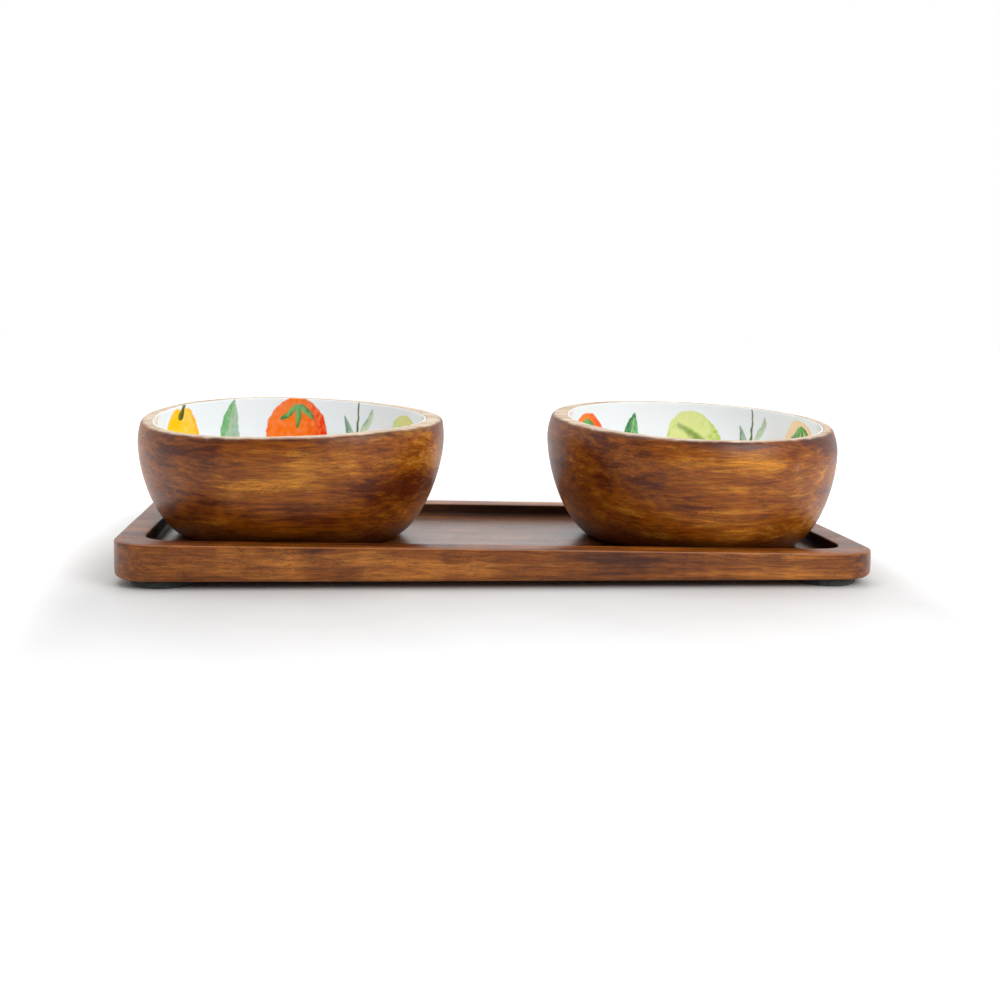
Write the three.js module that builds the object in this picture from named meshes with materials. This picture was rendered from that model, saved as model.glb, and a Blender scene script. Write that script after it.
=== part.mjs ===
// A serving set: a shallow wooden tray on four felt feet, with two loose hand-shaped wooden bowls.
// Each bowl is a wooden shell with a hard white enamel lining.
// Units are millimetres, +Z is up, +X runs along the tray and -Y is its front.
// The origin is the middle of the tray at table level.
import * as THREE from "three";

// Bowls. Each is a rounded form, a little uneven in plan, that stands on a flat base and is widest
// above its middle. Its rim slopes a little, as that of a piece shaped by hand does. The ratios are
// shares of the half-width or of the height; leans, rises, walls and shifts are in millimetres. The
// hollow isn't quite in the middle of the wood, so the lip is thinner on one side.
const LEFT_BOWL = {
  name: "left_bowl",
  width: 128.2,
  depth: 122.2,
  height: 50.0,
  offsetY: -1.2,
  leanX: 1.0,
  leanY: 0,
  baseRatio: 0.685,
  fullness: 1.68,
  bellyHeight: 0.82,
  rimRatio: 0.981,
  squareness: 0.004,
  lopsidedness: 0.007,
  rimRiseToBack: 3.7,
  rimRiseToRight: 1.2,
  rimTwist: -0.85,
  rimSaddle: -0.3,
  wall: 5.8,
  hollowShiftX: -1.2,
};
const RIGHT_BOWL = {
  name: "right_bowl",
  width: 125.6,
  depth: 123.6,
  height: 52.8,
  offsetY: -2.0,
  leanX: -1.9,
  leanY: 0.5,
  baseRatio: 0.684,
  fullness: 1.71,
  bellyHeight: 0.8,
  rimRatio: 0.961,
  squareness: 0.004,
  lopsidedness: -0.013,
  rimRiseToBack: 3.85,
  rimRiseToRight: 0.2,
  rimTwist: 0,
  rimSaddle: 0.1,
  wall: 5.3,
  hollowShiftX: 1.4,
};
const BOWL_FLOOR = 8.0;
const BOWL_LIP_ROUND = 1.3;
const BOWL_SEAT_GAP = 0.3;
const LINING_THICKNESS = 1.0;
const LINING_GAP = 0.3;
const LINING_EDGE_DROP = 0.4;
const DISH_SQUARENESS = 6;

// Tray. The recess is sized round the bowls, and the rim and outer size follow from it.
const BOWL_GAP = 48.5;
const RECESS_CLEARANCE_LEFT = 2.3;
const RECESS_CLEARANCE_RIGHT = 2.1;
const RECESS_CLEARANCE_SIDE = 1.6;
const RECESS_DEPTH = 5.4;
const RECESS_CORNER_RADIUS = 12.5;
const RECESS_FILLET = 1.6;
const RIM_WIDTH = 11.0;
const BOARD_THICKNESS_LEFT = 14.8;
const BOARD_THICKNESS_RIGHT = 11.0;
const TRAY_CORNER_RADIUS = 16.0;
const TRAY_BOTTOM_ROUND = 2.2;
const TRAY_TOP_ROUND = 0.9;

// Feet: self-adhesive felt discs, one near each corner.
const FOOT_DIAMETER = 25.4;
const FOOT_THICKNESS = 2.7;
const FOOT_EDGE_ROUND = 0.5;
const ADHESIVE_THICKNESS = 0.2;
const FOOT_INSET_X = 6.3;
const FOOT_INSET_Y = 2.3;

// Smoothness of the faceted surfaces.
const BOWL_SEGMENTS = 48;
const SIDE_RINGS = 10;
const DISH_RINGS = 10;
const CORNER_SEGMENTS = 8;
const ROUND_STEPS = 3;
const FOOT_SEGMENTS = 32;

const WOOD = new THREE.MeshStandardMaterial({ color: 0x8a5630, roughness: 0.42, metalness: 0 });
const TRAY_WOOD = new THREE.MeshStandardMaterial({ color: 0x7f4f30, roughness: 0.36, metalness: 0 });
const ENAMEL = new THREE.MeshStandardMaterial({ color: 0xf1f1ee, roughness: 0.1, metalness: 0 });
const FELT = new THREE.MeshStandardMaterial({ color: 0x2a2d2a, roughness: 0.95, metalness: 0 });
const ADHESIVE = new THREE.MeshStandardMaterial({ color: 0xd8d4c4, roughness: 0.6, metalness: 0 });

// Joins a stack of rings, each with the same number of points and turning the same way seen from
// above, into one closed surface. The first and last rings are closed by a fan to their middle.
function skin(rings) {
  const count = rings[0].length;
  const positions = [];
  const faces = [];
  rings.flat().forEach((point) => positions.push(point.x, point.y, point.z));
  for (let ring = 0; ring + 1 < rings.length; ring += 1) {
    for (let i = 0; i < count; i += 1) {
      const next = (i + 1) % count;
      const a = ring * count + i;
      const b = ring * count + next;
      faces.push(a, b, b + count, a, b + count, a + count);
    }
  }
  const cap = (ring, reversed) => {
    const middle = positions.length / 3;
    const centre = new THREE.Vector3();
    rings[ring].forEach((point) => centre.addScaledVector(point, 1 / count));
    positions.push(centre.x, centre.y, centre.z);
    for (let i = 0; i < count; i += 1) {
      const a = ring * count + i;
      const b = ring * count + ((i + 1) % count);
      faces.push(...(reversed ? [middle, b, a] : [middle, a, b]));
    }
  };
  cap(0, true);
  cap(rings.length - 1, false);
  const geometry = new THREE.BufferGeometry();
  geometry.setAttribute("position", new THREE.Float32BufferAttribute(positions, 3));
  geometry.setIndex(faces);
  geometry.computeVertexNormals();
  return geometry;
}

function namedMesh(name, geometry, material) {
  const mesh = new THREE.Mesh(geometry, material);
  mesh.name = name;
  return mesh;
}

// Share of the full half-width that a bowl's outside has at a share of its height.
function sideRatio(bowl, share) {
  if (share >= bowl.bellyHeight) {
    const above = (share - bowl.bellyHeight) / (1 - bowl.bellyHeight);
    return 1 - (1 - bowl.rimRatio) * above ** 2;
  }
  const below = 1 - share / bowl.bellyHeight;
  const rise = (1 - below ** bowl.fullness) ** (1 / bowl.fullness);
  return bowl.baseRatio + (1 - bowl.baseRatio) * rise;
}

// Height of the rim in a direction, above the bowl's own base.
function rimHeight(bowl, angle) {
  const slope = bowl.rimRiseToBack * Math.sin(angle) + bowl.rimRiseToRight * Math.cos(angle);
  const wave = bowl.rimTwist * Math.sin(2 * angle) + bowl.rimSaddle * Math.cos(2 * angle);
  return bowl.height + slope + wave;
}

// One ring of a bowl. inset pulls it in from the outside surface, shrink scales it towards the
// middle, heightAt gives its height in each direction, and shiftX moves it sideways.
function bowlRing(bowl, heightAt, inset, shrink, shiftX = 0) {
  return Array.from({ length: BOWL_SEGMENTS }, (_, i) => {
    const angle = (2 * Math.PI * i) / BOWL_SEGMENTS;
    const z = heightAt(angle);
    const share = Math.min(1, z / rimHeight(bowl, angle));
    const side = sideRatio(bowl, share);
    const squared = 1 + bowl.squareness * (1 - Math.cos(4 * angle));
    const plan = squared + bowl.lopsidedness * Math.sin(2 * angle);
    const reachX = ((bowl.width / 2) * side - inset) * plan * shrink;
    const reachY = ((bowl.depth / 2) * side - inset) * plan * shrink;
    const x = bowl.leanX * share + shiftX + reachX * Math.cos(angle);
    const y = bowl.leanY * share + reachY * Math.sin(angle);
    return new THREE.Vector3(x, y, z);
  });
}

// The hollow of a bowl from its lip down to the middle of its floor, as rings. inset is measured
// in from the outside, floor up from the base and drop down from the rim.
function dishRings(bowl, inset, floor, drop) {
  return Array.from({ length: DISH_RINGS }, (_, i) => {
    const share = ((DISH_RINGS - i) / DISH_RINGS) ** 2;
    const shrink = Math.sqrt(1 - (1 - share) ** DISH_SQUARENESS);
    const heightAt = (angle) => floor + share * (rimHeight(bowl, angle) - drop - floor);
    return bowlRing(bowl, heightAt, inset, shrink, bowl.hollowShiftX);
  });
}

// Wooden shell: flat base, bellied side, rounded lip and a dished hollow.
function bowlShell(bowl) {
  const rings = [];
  for (let i = 0; i <= SIDE_RINGS; i += 1) {
    const share = (i / SIDE_RINGS) ** 1.5;
    rings.push(bowlRing(bowl, (angle) => share * (rimHeight(bowl, angle) - BOWL_LIP_ROUND), 0, 1));
  }
  const lip = [
    [0.3, 0.3],
    [1, 0],
  ];
  lip.forEach(([inward, down]) => {
    const heightAt = (angle) => rimHeight(bowl, angle) - down * BOWL_LIP_ROUND;
    rings.push(bowlRing(bowl, heightAt, inward * BOWL_LIP_ROUND, 1));
  });
  lip.reverse().forEach(([inward, down]) => {
    const heightAt = (angle) => rimHeight(bowl, angle) - down * BOWL_LIP_ROUND;
    rings.push(bowlRing(bowl, heightAt, bowl.wall - inward * BOWL_LIP_ROUND, 1, bowl.hollowShiftX));
  });
  rings.push(...dishRings(bowl, bowl.wall, BOWL_FLOOR, BOWL_LIP_ROUND));
  return namedMesh(bowl.name, skin(rings), WOOD);
}

// Enamel lining: a thin dish that lies inside the wooden hollow and ends just below the lip.
function bowlLining(bowl) {
  const inset = bowl.wall + LINING_GAP;
  const floor = BOWL_FLOOR + LINING_GAP;
  const outside = dishRings(bowl, inset, floor, LINING_EDGE_DROP).reverse();
  const inside = dishRings(bowl, inset + LINING_THICKNESS, floor + LINING_THICKNESS, LINING_EDGE_DROP);
  return namedMesh(`${bowl.name}_lining`, skin([...outside, ...inside]), ENAMEL);
}

// How far a bowl's outside reaches from its middle at the level of the recess's top edge.
function seatReach(bowl, size) {
  return (size / 2) * sideRatio(bowl, (RECESS_DEPTH + BOWL_SEAT_GAP) / bowl.height);
}

const recessWidth =
  2 *
  (RECESS_CLEARANCE_SIDE +
    Math.max(
      ...[LEFT_BOWL, RIGHT_BOWL].map((bowl) => seatReach(bowl, bowl.depth) + Math.abs(bowl.offsetY)),
    ));
const recessLength =
  RECESS_CLEARANCE_LEFT +
  seatReach(LEFT_BOWL, LEFT_BOWL.width) +
  LEFT_BOWL.width / 2 +
  BOWL_GAP +
  RIGHT_BOWL.width / 2 +
  seatReach(RIGHT_BOWL, RIGHT_BOWL.width) +
  RECESS_CLEARANCE_RIGHT;
const trayLength = recessLength + 2 * RIM_WIDTH;
const trayWidth = recessWidth + 2 * RIM_WIDTH;
const leftBowlX = -recessLength / 2 + RECESS_CLEARANCE_LEFT + seatReach(LEFT_BOWL, LEFT_BOWL.width);
const rightBowlX = recessLength / 2 - RECESS_CLEARANCE_RIGHT - seatReach(RIGHT_BOWL, RIGHT_BOWL.width);

// The board is planed a little thinner towards its right end, and the recess follows its top.
const boardBottom = FOOT_THICKNESS + ADHESIVE_THICKNESS;
const boardFall = (BOARD_THICKNESS_LEFT - BOARD_THICKNESS_RIGHT) / trayLength;
const boardTop = (x) =>
  boardBottom + (BOARD_THICKNESS_LEFT + BOARD_THICKNESS_RIGHT) / 2 - boardFall * x;

// A rounded rectangle as a ring of points, at the height that heightAt gives for each x.
function roundedRing(length, width, radius, heightAt) {
  const ring = [];
  for (let corner = 0; corner < 4; corner += 1) {
    for (let step = 0; step <= CORNER_SEGMENTS; step += 1) {
      const angle = (Math.PI / 2) * (corner + step / CORNER_SEGMENTS);
      const signX = corner === 0 || corner === 3 ? 1 : -1;
      const signY = corner < 2 ? 1 : -1;
      const x = signX * (length / 2 - radius) + radius * Math.cos(angle);
      const y = signY * (width / 2 - radius) + radius * Math.sin(angle);
      ring.push(new THREE.Vector3(x, y, heightAt(x)));
    }
  }
  return ring;
}

// The tray board: rounded bottom edge, upright sides, eased top edge, flat rim and a recess with
// a small fillet round its floor.
function trayBoard() {
  const outer = (inset, heightAt) =>
    roundedRing(trayLength - 2 * inset, trayWidth - 2 * inset, TRAY_CORNER_RADIUS - inset, heightAt);
  const inner = (inset, heightAt) =>
    roundedRing(
      recessLength - 2 * inset,
      recessWidth - 2 * inset,
      Math.max(RECESS_CORNER_RADIUS - inset, RECESS_FILLET),
      heightAt,
    );
  const below = (down) => (x) => boardTop(x) - down;
  const quarter = Array.from({ length: ROUND_STEPS + 1 }, (_, i) => (Math.PI / 2) * (i / ROUND_STEPS));
  const rings = [];
  quarter.forEach((turn) => {
    const height = boardBottom + TRAY_BOTTOM_ROUND * (1 - Math.cos(turn));
    rings.push(outer(TRAY_BOTTOM_ROUND * (1 - Math.sin(turn)), () => height));
  });
  quarter.forEach((turn) => {
    rings.push(outer(TRAY_TOP_ROUND * (1 - Math.cos(turn)), below(TRAY_TOP_ROUND * (1 - Math.sin(turn)))));
  });
  quarter.forEach((turn) => {
    rings.push(inner(-TRAY_TOP_ROUND * (1 - Math.sin(turn)), below(TRAY_TOP_ROUND * (1 - Math.cos(turn)))));
  });
  quarter.forEach((turn) => {
    const down = RECESS_DEPTH - RECESS_FILLET * (1 - Math.sin(turn));
    rings.push(inner(RECESS_FILLET * (1 - Math.cos(turn)), below(down)));
  });
  return namedMesh("tray", skin(rings), TRAY_WOOD);
}

// One disc, turned round the Z axis, with a small round on its lower edge.
function disc(name, radius, thickness, edgeRound, material) {
  const profile = [
    new THREE.Vector2(0, 0),
    new THREE.Vector2(radius - edgeRound, 0),
    new THREE.Vector2(radius - edgeRound * 0.3, edgeRound * 0.3),
    new THREE.Vector2(radius, edgeRound),
    new THREE.Vector2(radius, thickness),
    new THREE.Vector2(0, thickness),
  ];
  const geometry = new THREE.LatheGeometry(profile, FOOT_SEGMENTS);
  geometry.rotateX(Math.PI / 2);
  return namedMesh(name, geometry, material);
}

// A felt foot and the adhesive film that holds it to the underside of the board.
function foot(place, x, y) {
  const group = new THREE.Group();
  const pad = disc(`foot_${place}`, FOOT_DIAMETER / 2, FOOT_THICKNESS, FOOT_EDGE_ROUND, FELT);
  const film = disc(
    `foot_adhesive_${place}`,
    FOOT_DIAMETER / 2 - FOOT_EDGE_ROUND,
    ADHESIVE_THICKNESS,
    ADHESIVE_THICKNESS / 4,
    ADHESIVE,
  );
  film.position.z = FOOT_THICKNESS;
  group.add(pad, film);
  group.position.set(x, y, 0);
  return group;
}

function feet() {
  const group = new THREE.Group();
  const x = trayLength / 2 - FOOT_INSET_X - FOOT_DIAMETER / 2;
  const y = trayWidth / 2 - FOOT_INSET_Y - FOOT_DIAMETER / 2;
  group.add(foot("front_left", -x, -y));
  group.add(foot("front_right", x, -y));
  group.add(foot("rear_left", -x, y));
  group.add(foot("rear_right", x, y));
  return group;
}

// A bowl with its lining, standing square to the recess floor.
function seatedBowl(bowl, x) {
  const group = new THREE.Group();
  group.add(bowlShell(bowl), bowlLining(bowl));
  group.position.set(x, bowl.offsetY, boardTop(x) - RECESS_DEPTH + BOWL_SEAT_GAP);
  group.rotation.y = Math.atan(boardFall);
  return group;
}

const server = new THREE.Group();
server.add(trayBoard());
server.add(feet());
server.add(seatedBowl(LEFT_BOWL, leftBowlX));
server.add(seatedBowl(RIGHT_BOWL, rightBowlX));

export default server;
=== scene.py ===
# %% [markdown]
# # A chip and dip server
# A shallow tray of dark-stained mango wood stands on four felt feet and carries two loose wooden
# bowls. Each bowl is shaped by hand, so no two are alike, and is lined with hard white enamel
# under a watercolour print of vegetables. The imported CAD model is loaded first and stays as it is:
# every piece below takes its place and size from it.

# %% Load the fixed frame
import math

import bpy
from mathutils import Matrix, Vector, noise


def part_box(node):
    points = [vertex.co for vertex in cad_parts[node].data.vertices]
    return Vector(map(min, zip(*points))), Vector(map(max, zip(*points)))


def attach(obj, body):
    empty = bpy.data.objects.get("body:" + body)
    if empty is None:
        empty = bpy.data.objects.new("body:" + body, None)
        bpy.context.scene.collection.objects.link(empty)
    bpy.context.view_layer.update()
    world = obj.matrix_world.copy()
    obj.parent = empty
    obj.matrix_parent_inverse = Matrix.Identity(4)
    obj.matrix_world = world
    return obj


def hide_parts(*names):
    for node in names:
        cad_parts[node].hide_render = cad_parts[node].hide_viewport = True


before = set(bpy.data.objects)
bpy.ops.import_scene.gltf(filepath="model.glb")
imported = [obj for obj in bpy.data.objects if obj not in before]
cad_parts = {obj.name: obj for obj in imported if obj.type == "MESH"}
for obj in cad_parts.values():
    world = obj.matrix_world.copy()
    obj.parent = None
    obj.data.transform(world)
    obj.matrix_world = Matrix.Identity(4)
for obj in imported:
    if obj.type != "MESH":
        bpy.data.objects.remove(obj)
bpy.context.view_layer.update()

MM = 0.001

# %% [markdown]
# ## The camera
# A table piece is seen best from just above table height, through a short telephoto lens.
# The camera could be aimed with a constraint, but three angles say the same thing plainly: a turn
# to the right, a small pitch down and the slight tilt of a camera held level by eye.

# %% Place the camera
CAMERA_PLACE = Vector((-58.5, -547.2, 106.3)) * MM
CAMERA_TURN = math.radians(6.47)
CAMERA_PITCH = math.radians(8.32)
CAMERA_TILT = math.radians(1.16)
CAMERA_LENS_MM = 45.65


def camera_matrix(place, turn, pitch, tilt):
    """The camera's axes, worked out from its heading: right, up and back are the columns."""
    level = math.cos(pitch)
    heading = Vector((math.sin(turn) * level, math.cos(turn) * level, -math.sin(pitch)))
    right = Vector((math.cos(turn), -math.sin(turn), 0))
    up = right.cross(heading)
    tilted_right = math.cos(tilt) * right + math.sin(tilt) * up
    tilted_up = math.cos(tilt) * up - math.sin(tilt) * right
    axes = Matrix((tilted_right, tilted_up, -heading)).transposed().to_4x4()
    return Matrix.Translation(place) @ axes


camera_data = bpy.data.cameras.new("camera")
camera_data.lens = CAMERA_LENS_MM
camera_data.sensor_width = 36
camera = bpy.data.objects.new("camera", camera_data)
camera.matrix_world = camera_matrix(CAMERA_PLACE, CAMERA_TURN, CAMERA_PITCH, CAMERA_TILT)
bpy.context.collection.objects.link(camera)
bpy.context.scene.camera = camera
print("camera stands", round(CAMERA_PLACE.length, 3), "m from the middle of the tray")

# %% [markdown]
# ## One way to make every solid
# The tray, the bowls, the linings and the feet are all stacks of rings: the outline at the bottom,
# the outline a little higher, and so on over the edge and down the inside. Joining each ring to
# the next with a strip of quads gives a clean closed mesh whose loops follow the form, which shades
# smoothly. Lofting by hand would do the same, but a function keeps all the pieces alike. Each ring
# can carry marks, such as where an edge was sanded, and the materials read them as attributes.

# %% Skin a stack of rings


def ring_mesh(name, rings, marks):
    """A closed mesh through rings of equal length, with one value of each mark per ring."""
    count = len(rings[0])
    points = [point for ring in rings for point in ring]
    faces = []
    for low in range(0, (len(rings) - 1) * count, count):
        for i in range(count):
            a, b = low + i, low + (i + 1) % count
            faces.append((a, b, b + count, a + count))
    for low, turn_over in ((0, True), (len(points) - count, False)):
        middle = sum((points[low + i] for i in range(count)), Vector()) / count
        points.append(middle)
        for i in range(count):
            a, b = low + i, low + (i + 1) % count
            faces.append((len(points) - 1, b, a) if turn_over else (len(points) - 1, a, b))
    mesh = bpy.data.meshes.new(name)
    mesh.from_pydata([tuple(point) for point in points], [], faces)
    mesh.shade_smooth()
    for mark, per_ring in marks.items():
        values = [value for value in per_ring for _ in range(count)]
        values += [values[0], values[-1]]
        attribute = mesh.attributes.new(mark, "FLOAT", "POINT")
        attribute.data.foreach_set("value", values)
    return mesh


def add_piece(name, mesh, body, slot, *nodes):
    """Puts a mesh in the scene as a piece that rides on a body and stands for CAD nodes."""
    piece = bpy.data.objects.new(name, mesh)
    bpy.context.collection.objects.link(piece)
    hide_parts(*nodes)
    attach(piece, body)
    print(name, "has", len(mesh.vertices), "points and", len(mesh.polygons), "faces")
    return piece


def soft_step(value):
    """0 to 1 with a smooth start and end."""
    value = min(1.0, max(0.0, value))
    return value * value * (3 - 2 * value)


print("halfway up a soft step is", soft_step(0.5))


# %% [markdown]
# ## The bowls' form
# A turned bowl would be round, and these aren't: they are a little uneven in plan, lean slightly,
# and have a rim that was sanded by eye, so it rises towards the back. The form is a formula with
# the maker's choices as named numbers. Sculpting could give the same look, but a formula keeps the
# lining and the wood in step with each other.

# %% Describe the two bowls
LEFT_BOWL = {
    "width": 128.2 * MM, "depth": 122.2 * MM, "height": 50.0 * MM,
    "lean": (1.0 * MM, 0.0), "base_ratio": 0.685, "fullness": 1.68, "belly": 0.82,
    "rim_ratio": 0.981, "squareness": 0.004, "lopsided": 0.007,
    "rise_back": 3.7 * MM, "rise_right": 1.2 * MM, "twist": -0.85 * MM, "saddle": -0.3 * MM,
    "wall": 5.8 * MM, "hollow_shift": -1.2 * MM, "seed": 3.1,
}
RIGHT_BOWL = {
    "width": 125.6 * MM, "depth": 123.6 * MM, "height": 52.8 * MM,
    "lean": (-1.9 * MM, 0.5 * MM), "base_ratio": 0.684, "fullness": 1.71, "belly": 0.8,
    "rim_ratio": 0.961, "squareness": 0.004, "lopsided": -0.013,
    "rise_back": 3.85 * MM, "rise_right": 0.2 * MM, "twist": 0.0, "saddle": 0.1 * MM,
    "wall": 5.3 * MM, "hollow_shift": 1.4 * MM, "seed": 8.6,
}
BOWL_FLOOR = 8.0 * MM
BOWL_POINTS = 176  # points in each ring
BOWL_ANGLES = [2 * math.pi * i / BOWL_POINTS for i in range(BOWL_POINTS)]
HAND_MARK_DEPTH = 0.22 * MM
SANDING_WAVER = 0.2 * MM


def side_ratio(bowl, share):
    """How wide the outside is at a share of the height, as a share of the full width."""
    if share >= bowl["belly"]:
        above = (share - bowl["belly"]) / (1 - bowl["belly"])
        return 1 - (1 - bowl["rim_ratio"]) * above**2
    below = 1 - max(0.0, share) / bowl["belly"]
    rise = (1 - below ** bowl["fullness"]) ** (1 / bowl["fullness"])
    return bowl["base_ratio"] + (1 - bowl["base_ratio"]) * rise


def rim_height(bowl, angle):
    """The height of the rim in a direction, with the small waver of hand sanding."""
    slope = bowl["rise_back"] * math.sin(angle) + bowl["rise_right"] * math.cos(angle)
    wave = bowl["twist"] * math.sin(2 * angle) + bowl["saddle"] * math.cos(2 * angle)
    waver = noise.noise(Vector((3 * math.cos(angle), 3 * math.sin(angle), bowl["seed"])))
    return bowl["height"] + slope + wave + SANDING_WAVER * waver


def hand_mark(bowl, angle, share):
    """The shallow hollows that a spokeshave leaves on the outside."""
    place = Vector((2.2 * math.cos(angle), 2.2 * math.sin(angle), 1.6 * share + bowl["seed"]))
    return HAND_MARK_DEPTH * noise.noise(place)


def bowl_ring(bowl, height_at, inset, shrink, marked=0.0, shift=0.0):
    """One ring of a bowl: inset from the outside, shrunk to the middle and shifted, at a height."""
    ring = []
    for angle in BOWL_ANGLES:
        height = height_at(angle)
        share = min(1.0, height / rim_height(bowl, angle))
        side = side_ratio(bowl, share)
        plan = 1 + bowl["squareness"] * (1 - math.cos(4 * angle)) + bowl["lopsided"] * math.sin(2 * angle)
        pull = inset - marked * hand_mark(bowl, angle, share)
        reach_x = (bowl["width"] / 2 * side - pull) * plan * shrink
        reach_y = (bowl["depth"] / 2 * side - pull) * plan * shrink
        lean_x, lean_y = bowl["lean"]
        ring.append(Vector((
            lean_x * share + shift + reach_x * math.cos(angle),
            lean_y * share + reach_y * math.sin(angle),
            height,
        )))
    return ring


print("left bowl is", LEFT_BOWL["width"] / MM, "mm wide and", LEFT_BOWL["height"] / MM, "mm high")
print("right bowl is", RIGHT_BOWL["width"] / MM, "mm wide and", RIGHT_BOWL["height"] / MM, "mm high")

# %% [markdown]
# ## The wooden shells
# The rings climb the outside, roll over the lip, which is flat on top where it was sanded back to
# bare wood, and go down the hollow. Two marks go with them: "sanded" is 1 on the bare wood, and
# "height_share" runs from 0 at the base to 1 at the rim, so that painted shade can darken the base.

# %% Build the rings of a shell
LIP_ROUND = 1.4 * MM  # over the outer edge of the lip
INNER_LIP_ROUND = LIP_ROUND * 0.6
OUTER_SANDING_AND_SHADE = 0.62  # the sanded mark where the outer round meets the flat of the lip; below 1, so the outer round stays darker as painted shade
SIDE_STEPS = 44
LIP_STEPS = 5
DISH_STEPS = 26
DISH_SQUARENESS = 6


def below_rim(bowl, down):
    """The height of a line that runs round the bowl at one distance below its rim."""
    return lambda angle: rim_height(bowl, angle) - down


def dish_rings(bowl, inset, floor, drop, steps):
    """The hollow of a bowl from the lip down to the middle of its floor."""
    rings = []
    for i in range(steps):
        share = ((steps - i) / steps) ** 2
        shrink = math.sqrt(1 - (1 - share) ** DISH_SQUARENESS)
        rings.append(bowl_ring(
            bowl,
            lambda angle: floor + share * (rim_height(bowl, angle) - drop - floor),
            inset,
            shrink,
            shift=bowl["hollow_shift"],
        ))
    return rings


def shell_rings(bowl):
    """All the rings of the wooden shell, with its two marks."""
    rings, sanded, shares = [], [], []
    for i in range(SIDE_STEPS + 1):
        share = (i / SIDE_STEPS) ** 1.4
        marked = soft_step(share / 0.12) * soft_step((1 - share) / 0.1)
        rings.append(bowl_ring(bowl, lambda a: share * (rim_height(bowl, a) - LIP_ROUND), 0, 1, marked))
        sanded.append(0.0)
        shares.append(share * 0.97)
    for i in range(1, LIP_STEPS + 1):
        turn = math.pi / 2 * i / LIP_STEPS
        down = LIP_ROUND * (1 - math.sin(turn))
        rings.append(bowl_ring(bowl, below_rim(bowl, down), LIP_ROUND * (1 - math.cos(turn)), 1))
        # The outer round of the lip stays partly stained, darker as painted shade.
        sanded.append(OUTER_SANDING_AND_SHADE * soft_step(i / LIP_STEPS))
        shares.append(1.0)
    half_shift = bowl["hollow_shift"] / 2
    rings.append(bowl_ring(bowl, below_rim(bowl, 0), bowl["wall"] / 2, 1, shift=half_shift))
    sanded.append(1.0)
    shares.append(1.0)
    for i in range(LIP_STEPS, 0, -1):
        turn = math.pi / 2 * i / LIP_STEPS
        down = INNER_LIP_ROUND * (1 - math.sin(turn))
        inset = bowl["wall"] - INNER_LIP_ROUND * (1 - math.cos(turn))
        rings.append(bowl_ring(bowl, below_rim(bowl, down), inset, 1, shift=bowl["hollow_shift"]))
        sanded.append(1.0)
        shares.append(1.0)
    inner = dish_rings(bowl, bowl["wall"], BOWL_FLOOR, INNER_LIP_ROUND, DISH_STEPS)
    rings += inner
    sanded += [1.0] * len(inner)
    shares += [1.0] * len(inner)
    return rings, {"sanded": sanded, "height_share": shares}


print("a shell is skinned from", len(shell_rings(LEFT_BOWL)[0]), "rings")


# %% [markdown]
# ## Seating a bowl in the tray
# The board is planed thinner towards its right end, so the recess floor falls to the right and each
# bowl stands square to that floor. The rings are turned to match, and then moved and scaled by a
# hair until the shell fills its own box in the CAD model exactly.

# %% Seat the rings in the CAD box
TRAY_LOW, TRAY_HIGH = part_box("tray")
TRAY_LENGTH = TRAY_HIGH[0] - TRAY_LOW[0]
TRAY_WIDTH = TRAY_HIGH[1] - TRAY_LOW[1]
BOARD_THICK_LEFT = TRAY_HIGH[2] - TRAY_LOW[2]
BOARD_THICK_RIGHT = 11.0 * MM
BOARD_FALL = (BOARD_THICK_LEFT - BOARD_THICK_RIGHT) / TRAY_LENGTH


def seating(rings, node):
    """The function that takes a bowl's own points to their place on the tray."""
    turn = Matrix.Rotation(math.atan(BOARD_FALL), 3, "Y")
    turned = [turn @ point for ring in rings for point in ring]
    low = Vector([min(point[i] for point in turned) for i in range(3)])
    high = Vector([max(point[i] for point in turned) for i in range(3)])
    box_low, box_high = (Vector(corner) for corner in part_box(node))
    scale = [(box_high[i] - box_low[i]) / (high[i] - low[i]) for i in range(3)]
    print(node, "is scaled by", [round(value, 4) for value in scale], "to fill its CAD box")

    def seat(point):
        point = turn @ point
        return Vector([box_low[i] + (point[i] - low[i]) * scale[i] for i in range(3)])

    return seat


def seated(rings, seat):
    return [[seat(point) for point in ring] for ring in rings]


shells = {}
seats = {}
for name, bowl in (("left_bowl", LEFT_BOWL), ("right_bowl", RIGHT_BOWL)):
    rings, marks = shell_rings(bowl)
    seats[name] = seating(rings, name)
    mesh = ring_mesh(name + "_shell", seated(rings, seats[name]), marks)
    shells[name] = add_piece(name + "_shell", mesh, name, "bowl_wood", name)

# %% [markdown]
# ## The enamel linings
# The lining is poured and spun into the hollow, so its outside is the wood's inside. Its edge is a
# soft bead just below the lip. The print is made flat, as a disc, and pressed into the bowl, so the
# mesh gets a UV map that undoes this: the distance from the middle, measured along the surface,
# becomes the distance from the middle of the flat print, in decimetres.

# %% Build the linings
LINING_THICKNESS = 0.6 * MM
LINING_EDGE_DROP = 0.15 * MM
LINING_STEPS = 52
LINING_BACK_STEPS = 18
LINING_SINK = 0.05 * MM  # how far the back of the lining sinks into the wood
BEAD_STEPS = 4
DECIMETRE = 0.1


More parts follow.
